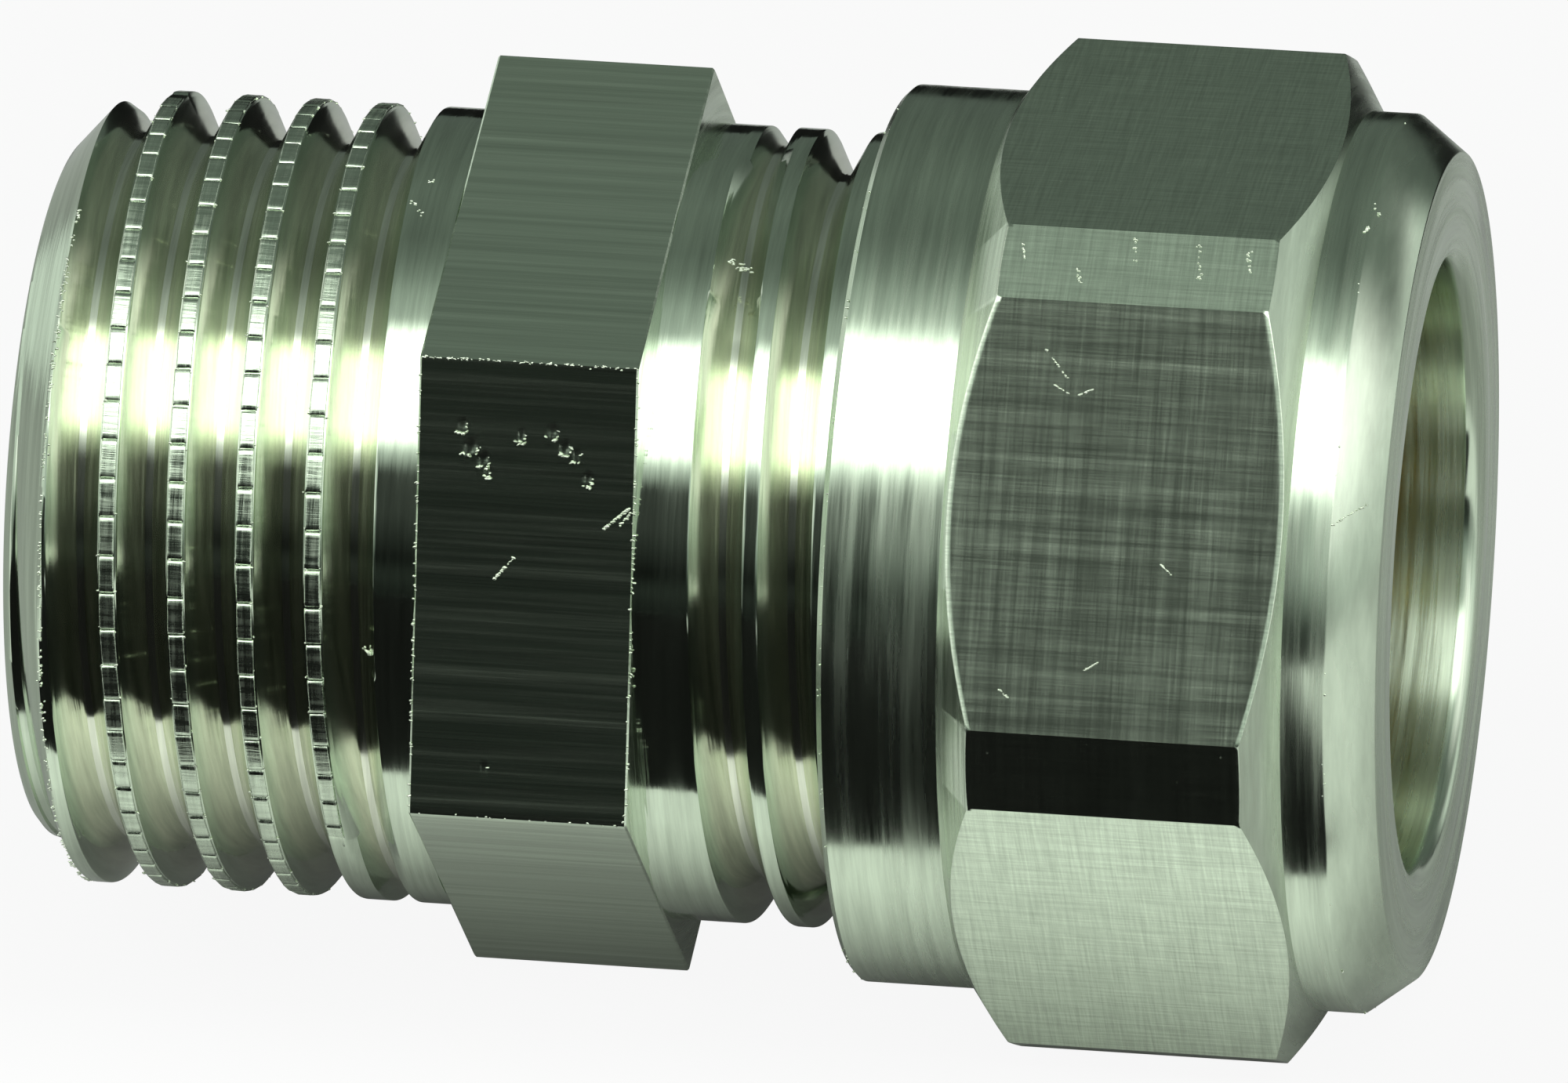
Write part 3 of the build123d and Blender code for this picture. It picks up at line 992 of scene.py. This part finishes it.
def body_burrs(body: Body) -> Burrs:
    """Scatters the burrs of the body.

    Args:
        body: The body, for the places of its edges.

    Returns:
        The burrs, not yet grown.
    """
    burrs = Burrs("body_burrs", 11)
    corner = body.hex_flat / math.cos(math.radians(30))
    upper, lower = body.hex_turn + 30, body.hex_turn + 90
    burrs.line((body.hex_x, upper, corner - 0.03), (body.hex_end_x, upper, corner - 0.03), 80, 0.02)
    burrs.line((body.hex_x, lower, corner - 0.03), (body.hex_end_x, lower, corner - 0.03), 16, 0.02)
    for x in (body.hex_x + 0.02, body.hex_end_x - 0.02):
        for k in range(24):
            angle = upper + k * 2.5
            ends = (angle, angle + 2.5)
            near = [body.hex_flat / math.cos(math.radians(a - body.hex_turn - 60)) - 0.02 for a in ends]
            burrs.line((x, angle, near[0]), (x, angle + 2.5, near[1]), 4, 0.02, 0.6)
    crest = body.left_crest_x
    for turn in range(-1, 4):
        for k in range(65):
            angle = KNURL_START + KNURL_STEP * k
            x = crest + PITCH * (turn + angle / 360)
            if turn * 360 + angle < -10 or turn * 360 + angle > 1180:
                continue
            for side in (-0.2, 0.2):
                burrs.line((x + side, angle - 0.7, 10.44), (x + side, angle + 0.7, 10.44), 2, 0.025, 0.55)
    burrs.line((-16.27, 20, 10.44), (-16.25, 160, 10.45), 260, 0.035)
    burrs.line((-7.85, 85.6, 9.8), (-7.5, 86.0, 10.3), 16, 0.03)
    for x, angle, size in body.dents:
        radius = body.hex_flat / math.cos(math.radians(angle - body.hex_turn - 60)) - 0.005
        burrs.line((x - size, angle + 0.9, radius), (x + size * 0.6, angle + 1.3, radius), 7, 0.02)
        burrs.line((x + size, angle - 0.6, radius), (x + size * 0.6, angle + 1.0, radius), 4, 0.02)
    burrs.line((-7.59, 14.5, 10.47), (-7.3, 17.0, 10.47), 10, 0.05)
    burrs.line((-7.28, 9.0, 10.47), (-7.2, 10.0, 10.47), 4, 0.05)
    burrs.line((0.95, 21.5, 10.3), (1.67, 24.2, 10.4), 22, 0.06)
    burrs.line((-4.25, 73.2, 10.5), (-3.75, 69.9, 10.54), 26, 0.006)
    burrs.line((-1.4, 65.0, 10.66), (-0.7, 61.8, 10.78), 34, 0.01)
    burrs.line((-1.0, 64.6, 10.68), (-0.72, 62.6, 10.74), 14, 0.01)
    return burrs


def nut_burrs(nut: CompressionNut) -> Burrs:
    """Scatters the burrs of the nut.

    Args:
        nut: The nut, for the places of its edges.

    Returns:
        The burrs, not yet grown.
    """
    burrs = Burrs("nut_burrs", 23)
    edge = nut.edge_angle()
    corner = nut.hex_flat / math.cos(math.radians(edge))
    for k in range(6):
        for angle in (60 * k + edge, 60 * k - edge):
            ends = [(x, angle, corner - 0.06) for x in (nut.hex_x + 1.1, nut.hex_end_x - 0.9)]
            burrs.line(*ends, 26, 0.012)
    burrs.line((nut.rim_x + 0.1, 0, 11.77), (nut.rim_x + 0.1, 360, 11.77), 90, 0.03)
    burrs.line((nut.bevel_x, 0, 11.78), (nut.bevel_x, 360, 11.78), 50, 0.03)
    flat = nut.hex_flat
    for x, angle, length, lean in (
        (9.94, 39.7, 0.7, 1.0), (10.3, 44.0, 0.4, 0.5), (10.95, 45.1, 0.4, -0.4), (13.39, 64.9, 0.3, 0.8),
        (11.6, 78.0, 0.35, -0.6), (9.4, 80.5, 0.3, 0.7),
    ):
        radius = flat / math.cos(math.radians(angle - 60))
        far = angle + lean * length * 5
        far_radius = flat / math.cos(math.radians(far - 60))
        burrs.line((x, angle, radius), (x + length, far, far_radius), 16, 0.006)
    nicks = ((9.11, 27.5, 2.2), (10.63, 30.4, 2.0), (12.0, 26.0, 3.5), (13.7, 26.1, 5.0), (15.0, 27.0, 3.0))
    for x, angle, run in nicks:
        radii = [nut.hex_corner / math.cos(math.radians(a - 30)) for a in (angle, angle + run)]
        burrs.line((x, angle, radii[0]), (x + 0.12, angle + run, radii[1]), 16, 0.03, 0.8)
    burrs.line((17.6, 17.0, 11.8), (17.72, 15.7, 11.8), 12, 0.02)
    burrs.line((17.82, 12.5, 11.73), (17.9, 12.9, 11.7), 4, 0.02)
    burrs.line((17.76, 58.7, 11.78), (18.53, 55.5, 11.2), 20, 0.01)
    return burrs


@dataclass
class Studio:
    """Floor, black cards, softbox, surroundings and camera."""

    floor_z: float = -12.0
    lens: float = 621.07
    camera_place: tuple[float, float, float] = (115.1, -624.9, 317.8)
    right: tuple[float, float, float] = (0.9868, 0.1444, -0.0734)
    up: tuple[float, float, float] = (0.0, 0.4534, 0.8913)
    back: tuple[float, float, float] = (0.1620, -0.8796, 0.4474)
    roll: float = 3.54
    shift: tuple[float, float] = (0.0377, -0.0112)
    front_card: Places = ((-1450, -1450), (120, -1450), (27, -16.0), (-26, -16.0), (-60, -17.5))
    back_card: Places = ((-38, 75), (140, 75), (1400, 1450), (-640, 1450))
    camera_glow: float = 0.92
    mirror_glow: float = 0.04
    # Share of the paper's colour kept in the painted shadow under the object.
    painted_shadow_under_object: float = 0.45
    softbox_rise: float = 61.0
    softbox_away: float = 750.0
    softbox_width: float = 1300.0
    softbox_height: float = 576.0
    softbox_light: float = 2.8
    column_light: float = 0.08
    column_side: float = -9.0
    walls: dict[float, float] = field(
        default_factory=lambda: {
            **{-1.0: 0.0, -0.15: 0.4, 0.0: 0.85, 0.2: 0.8, 0.36: 1.4, 0.66: 1.5, 0.85: 0.6, 1.0: 0.3}
        }
    )
    room: dict[int, float] = field(
        default_factory=lambda: {
            **{-180: 0.12, -150: 0.05, -60: 0.01, -5: 0.01, 3: 0.02, 10: 0.06, 18: 0.36, 24: 0.6},
            **{30: 0.62, 36: 0.66, 42: 0.7, 48: 0.8, 76: 0.7, 84: 0.55, 90: 0.45, 96: 0.3},
            **{102: 0.21, 110: 0.16, 130: 0.18, 145: 0.15, 160: 0.13, 180: 0.12},
        }
    )

    def camera(self) -> None:
        """Sets the camera that matches the photograph's view."""
        data = bpy.data.cameras.new("camera")
        data.sensor_width = 36
        data.lens = self.lens
        data.shift_x, data.shift_y = self.shift
        data.clip_start, data.clip_end = 0.05, 5
        turn = math.radians(self.roll)
        right, up, back = Vector(self.right), Vector(self.up), Vector(self.back)
        across = (right * math.cos(turn) + up * math.sin(turn)).normalized()
        back = (back - across * back.dot(across)).normalized()
        upward = back.cross(across)
        made = placed("camera", data)
        basis = Matrix((across, upward, back)).transposed().to_4x4()
        made.matrix_world = Matrix.Translation(Vector(self.camera_place) * MM) @ basis
        bpy.context.scene.camera = made

    def sheet(self, name: str, corners: list[tuple[float, float]], height: float) -> Piece:
        """Makes a flat sheet on the floor.

        Args:
            name: Name of the object.
            corners: Corners in x and y, anticlockwise from above, in millimetres.
            height: Height of the sheet.

        Returns:
            The sheet.
        """
        mesh = bpy.data.meshes.new(name)
        points = [(x * MM, y * MM, height * MM) for x, y in corners]
        mesh.from_pydata(points, [], [tuple(range(len(points)))])
        return placed(name, mesh)

    def floor(self) -> None:
        """Lays the pale floor, and the black cards on it in front of and behind the picture."""
        wide = 1500.0
        corners = [(-wide, -wide), (wide, -wide), (wide, wide), (-wide, wide)]
        floor = self.sheet("floor", corners, self.floor_z)
        floor.data.materials.append(self.paper())
        felt = self.felt()
        cards = [
            self.sheet("front_card", list(self.front_card), self.floor_z + 0.2),
            self.sheet("back_card", list(self.back_card), self.floor_z + 0.2),
        ]
        for card in cards:
            card.data.materials.append(felt)

    def paper(self) -> Material:
        """White paper: matt, and near white to the camera, so that only the shadow shows on it; a painted
        shadow also darkens its colour in a band under the object.

        Returns:
            The material.
        """
        material = blank("white_paper")
        tree = material.node_tree
        grain = add(tree, "ShaderNodeTexNoise", Scale=900.0, Detail=2.0)
        tone = add(tree, "ShaderNodeMapRange", in0=grain.outputs[0], in3=0.8, in4=0.84)
        place = add(tree, "ShaderNodeTexCoord").outputs["Object"]
        y = add(tree, "ShaderNodeSeparateXYZ", in0=place).outputs[1]
        # Painted shadow: the paper's colour darkens from y -12.5 mm to -6 mm, in front of and under the
        # object, down to the share painted_shadow_under_object.
        near = add(
            tree, "ShaderNodeMapRange", in0=y, in1=-12.5 * MM, in2=-6 * MM, in3=1.0, in4=self.painted_shadow_under_object
        )
        tone_with_painted_shadow = add(tree, "ShaderNodeMath", "MULTIPLY", in0=tone.outputs[0], in1=near.outputs[0])
        matt = add(tree, "ShaderNodeBsdfDiffuse", Color=tone_with_painted_shadow.outputs[0])
        glow = add(tree, "ShaderNodeEmission", Color=(1, 1, 1, 1), Strength=1.0)
        path = add(tree, "ShaderNodeLightPath").outputs
        mirrored = add(
            tree, "ShaderNodeMath", "ADD", in0=path["Is Glossy Ray"], in1=path["Is Transmission Ray"]
        ).outputs[0]
        dim = add(tree, "ShaderNodeMath", "MULTIPLY", in0=mirrored, in1=self.mirror_glow).outputs[0]
        share = add(
            tree, "ShaderNodeMath", {"operation": "MULTIPLY_ADD", "use_clamp": True},
            in0=path["Is Camera Ray"], in1=self.camera_glow, in2=dim,
        )
        mixed = {"in0": share.outputs[0], "in1": matt.outputs[0], "in2": glow.outputs[0]}
        both = add(tree, "ShaderNodeMixShader", **mixed)
        add(tree, "ShaderNodeOutputMaterial", Surface=both.outputs[0])
        return material

    def felt(self) -> Material:
        """Black felt: it gives the metal's lower front its black band.

        Returns:
            The material.
        """
        material = blank("black_felt")
        tree = material.node_tree
        fluff = add(tree, "ShaderNodeTexNoise", Scale=2000.0, Detail=2.0)
        tone = add(tree, "ShaderNodeMapRange", in0=fluff.outputs[0], in3=0.006, in4=0.012)
        matt = add(tree, "ShaderNodeBsdfDiffuse", Color=tone.outputs[0])
        add(tree, "ShaderNodeOutputMaterial", Surface=matt.outputs[0])
        return material

    def softbox(self) -> None:
        """Hangs the softbox above and in front of the object."""
        data = bpy.data.lights.new("softbox", "AREA")
        data.shape = "RECTANGLE"
        data.size = self.softbox_width * MM
        data.size_y = self.softbox_height * MM
        data.energy = self.softbox_light * math.pi * data.size * data.size_y
        data.color = linear("F9FFF7")[:3]
        data.use_nodes = True
        tree = data.node_tree
        tree.nodes.clear()
        place = add(tree, "ShaderNodeNewGeometry").outputs["Parametric"]
        split = add(tree, "ShaderNodeSeparateXYZ", in0=place).outputs
        sides = [self.fade(tree, split[0], 0.0, 0.1), self.fade(tree, split[0], 1.0, 0.9)]
        ends = [self.fade(tree, split[1], 0.0, 0.26), self.fade(tree, split[1], 1.0, 0.74)]
        glow = add(tree, "ShaderNodeEmission", Strength=self.product(tree, sides + ends))
        add(tree, "ShaderNodeOutputLight", Surface=glow.outputs[0])
        lamp = placed("softbox", data)
        rise = math.radians(self.softbox_rise)
        toward = Vector((0.0, -math.cos(rise), math.sin(rise)))
        across = Vector((1.0, 0.0, 0.0))
        basis = Matrix((across, toward.cross(across), toward)).transposed().to_4x4()
        lamp.matrix_world = Matrix.Translation(toward * self.softbox_away * MM) @ basis

    def ramp(self, tree: Tree, place: Socket, stops: dict[float, float]) -> Socket:
        """Shades the room by a place from 0 to 1, a little green where it is dim.

        Args:
            tree: Tree of the world.
            place: Place from 0 to 1.
            stops: Light by place.

        Returns:
            Colour of the room.
        """
        made = add(tree, "ShaderNodeValToRGB", Fac=place)
        elements = made.color_ramp.elements
        elements[1].position = 1.0
        for at, light in stops.items():
            stop = elements[0] if at == 0 else elements[-1] if at == 1 else elements.new(at)
            stop.color = (light * (0.8 + 0.13 * light), light, light * (0.86 + 0.08 * light), 1.0)
        return made.outputs[0]

    def fade(self, tree: Tree, value: Socket, none: float, full: float) -> Any:
        """Fades softly from 0 where the value is at none, to 1 where it is at full."""
        soft = {"interpolation_type": "SMOOTHSTEP"}
        return add(tree, "ShaderNodeMapRange", soft, in0=value, in1=none, in2=full).outputs[0]

    def size_of(self, tree: Tree, value: Socket) -> Socket:
        """Drops the sign of a value."""
        return add(tree, "ShaderNodeMath", "ABSOLUTE", in0=value).outputs[0]

    def product(self, tree: Tree, values: list[Any]) -> Socket:
        """Multiplies all the values."""
        made = values[0]
        for value in values[1:]:
            made = add(tree, "ShaderNodeMath", "MULTIPLY", in0=made, in1=value).outputs[0]
        return made

    def surroundings(self) -> None:
        """Paints the room: a narrow dark column in front, bright walls at the sides, dim behind."""
        world = bpy.data.worlds.new("studio")
        bpy.context.scene.world = world
        world.use_nodes = True
        tree = world.node_tree
        tree.nodes.clear()
        place = add(tree, "ShaderNodeTexCoord").outputs["Generated"]
        split = add(tree, "ShaderNodeSeparateXYZ", in0=place).outputs
        front = add(tree, "ShaderNodeMath", "MULTIPLY", in0=split[1], in1=-1.0).outputs[0]
        angle = add(tree, "ShaderNodeMath", "ARCTAN2", in0=split[2], in1=front).outputs[0]
        turn = add(tree, "ShaderNodeMapRange", in0=angle, in1=-math.pi, in2=math.pi).outputs[0]
        ramp = self.ramp(tree, turn, {(degrees + 180) / 360: light for degrees, light in self.room.items()})
        side = math.radians(self.column_side)
        across = (math.cos(side), math.sin(side), 0.0)
        beside = add(tree, "ShaderNodeVectorMath", "DOT_PRODUCT", in0=place, in1=across)
        aside = self.size_of(tree, beside.outputs["Value"])
        column = [self.fade(tree, aside, 0.26, 0.15), self.fade(tree, split[2], 0.05, 0.2)]
        column += [self.fade(tree, split[2], 0.66, 0.56), self.fade(tree, split[1], 0.0, -0.2)]
        hidden = self.product(tree, column)
        dark = add(tree, "ShaderNodeMapRange", in0=hidden, in3=1.0, in4=self.column_light)
        sideways = self.size_of(tree, split[0])
        beyond = self.fade(tree, sideways, 0.4, 0.65)
        above = [beyond, self.fade(tree, split[2], 0.2, 0.4), self.fade(tree, split[1], 0.5, 0.05)]
        high = self.product(tree, above)
        ahead = add(tree, "ShaderNodeMapRange", in0=split[1], in1=-0.6, in2=0.0, in3=0.4, in4=1.0).outputs[0]
        behind = self.fade(tree, split[1], 0.95, 0.75)
        low = self.product(tree, [beyond, self.fade(tree, split[2], 0.4, 0.2), ahead, behind])
        walls = add(tree, "ShaderNodeMath", "MAXIMUM", in0=high, in1=low).outputs[0]
        rise = add(tree, "ShaderNodeMapRange", in0=split[2], in1=-1.0, in2=1.0).outputs[0]
        climb = self.ramp(tree, rise, {(z + 1) / 2: light for z, light in self.walls.items()})
        share = dark.outputs[0]
        fill = add(tree, "ShaderNodeMix", {"data_type": "RGBA"}, Factor=share, in6=(0, 0, 0, 1), in7=ramp)
        walled = add(
            tree, "ShaderNodeMix", {"data_type": "RGBA", "blend_type": "LIGHTEN"}, Factor=walls,
            in6=fill.outputs[2], in7=climb,
        )
        sky = add(tree, "ShaderNodeBackground", in0=walled.outputs[2], in1=1.0)
        add(tree, "ShaderNodeOutputWorld", Surface=sky.outputs[0])

    def build(self) -> None:
        """Builds the studio and sets the view transform."""
        bpy.context.scene.view_settings.view_transform = "Standard"
        self.camera()
        self.floor()
        self.softbox()
        self.surroundings()


def main() -> None:
    """Builds the pieces in order and reports each one."""
    logging.basicConfig(level=logging.INFO, format="%(message)s")
    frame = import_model()
    Studio().build()
    thread = MachinedFinish(
        "thread_nickel", Lay.TURNED, groove_radius=10.3, roughness=0.09, stretch=0.3, wave_depth=0.002
    ).material()
    turned = MachinedFinish("turned_nickel", Lay.TURNED).material()
    drawn = MachinedFinish(
        "drawn_nickel",
        Lay.DRAWN,
        stretch=0.3,
        roughness=0.14,
        streak_contrast=0.22,
        line_spacing=0.06,
        wave_spacing=0.3,
    ).material()
    milled = MachinedFinish(
        "milled_nickel", Lay.CROSSED, roughness=0.14, line_spacing=0.07, line_depth=0.0005,
        wave_spacing=0.3, wave_depth=0.001, streak_contrast=0.22, streak_spacing=0.08, satin_contrast=0.15,
        speck_depth=0.01,
    ).material()
    rolled = MachinedFinish(
        "rolled_nickel", Lay.CROSSED, roughness=0.16, line_spacing=0.07, wave_spacing=0.2, wave_depth=0.014
    ).material()
    bright = MachinedFinish("burred_nickel", Lay.TURNED, colour="E8EFDF", roughness=0.25).material()
    body, nut = Body(), CompressionNut()
    pipe = body.pipe_end([thread, turned])
    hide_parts("body")
    body_pieces = [pipe, body.clamp_end([thread, turned]), body.hexagon([drawn, turned])]
    body_pieces.append(Knurl().build(rolled))
    body_pieces.append(body_burrs(body).build(bright, (0.02, 0.015, 0.015), (0.07, 0.035, 0.035)))
    for piece in body_pieces:
        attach(piece, "body")
        log.info("%s: %d faces", piece.name, len(piece.data.polygons))
    shell = nut.build([turned, milled, thread])
    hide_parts("compression_nut")
    nut_pieces = [shell, nut_burrs(nut).build(bright, (0.015, 0.015, 0.015), (0.05, 0.035, 0.035))]
    for piece in nut_pieces:
        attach(piece, "nut")
        log.info("%s: %d faces", piece.name, len(piece.data.polygons))
    ring = frame["nodes"]["compression_ring"]
    ring.data.materials.clear()
    ring.data.materials.append(MachinedFinish("turned_brass", Lay.TURNED, colour="E3C07A").material())


if __name__ == "__main__":
    main()
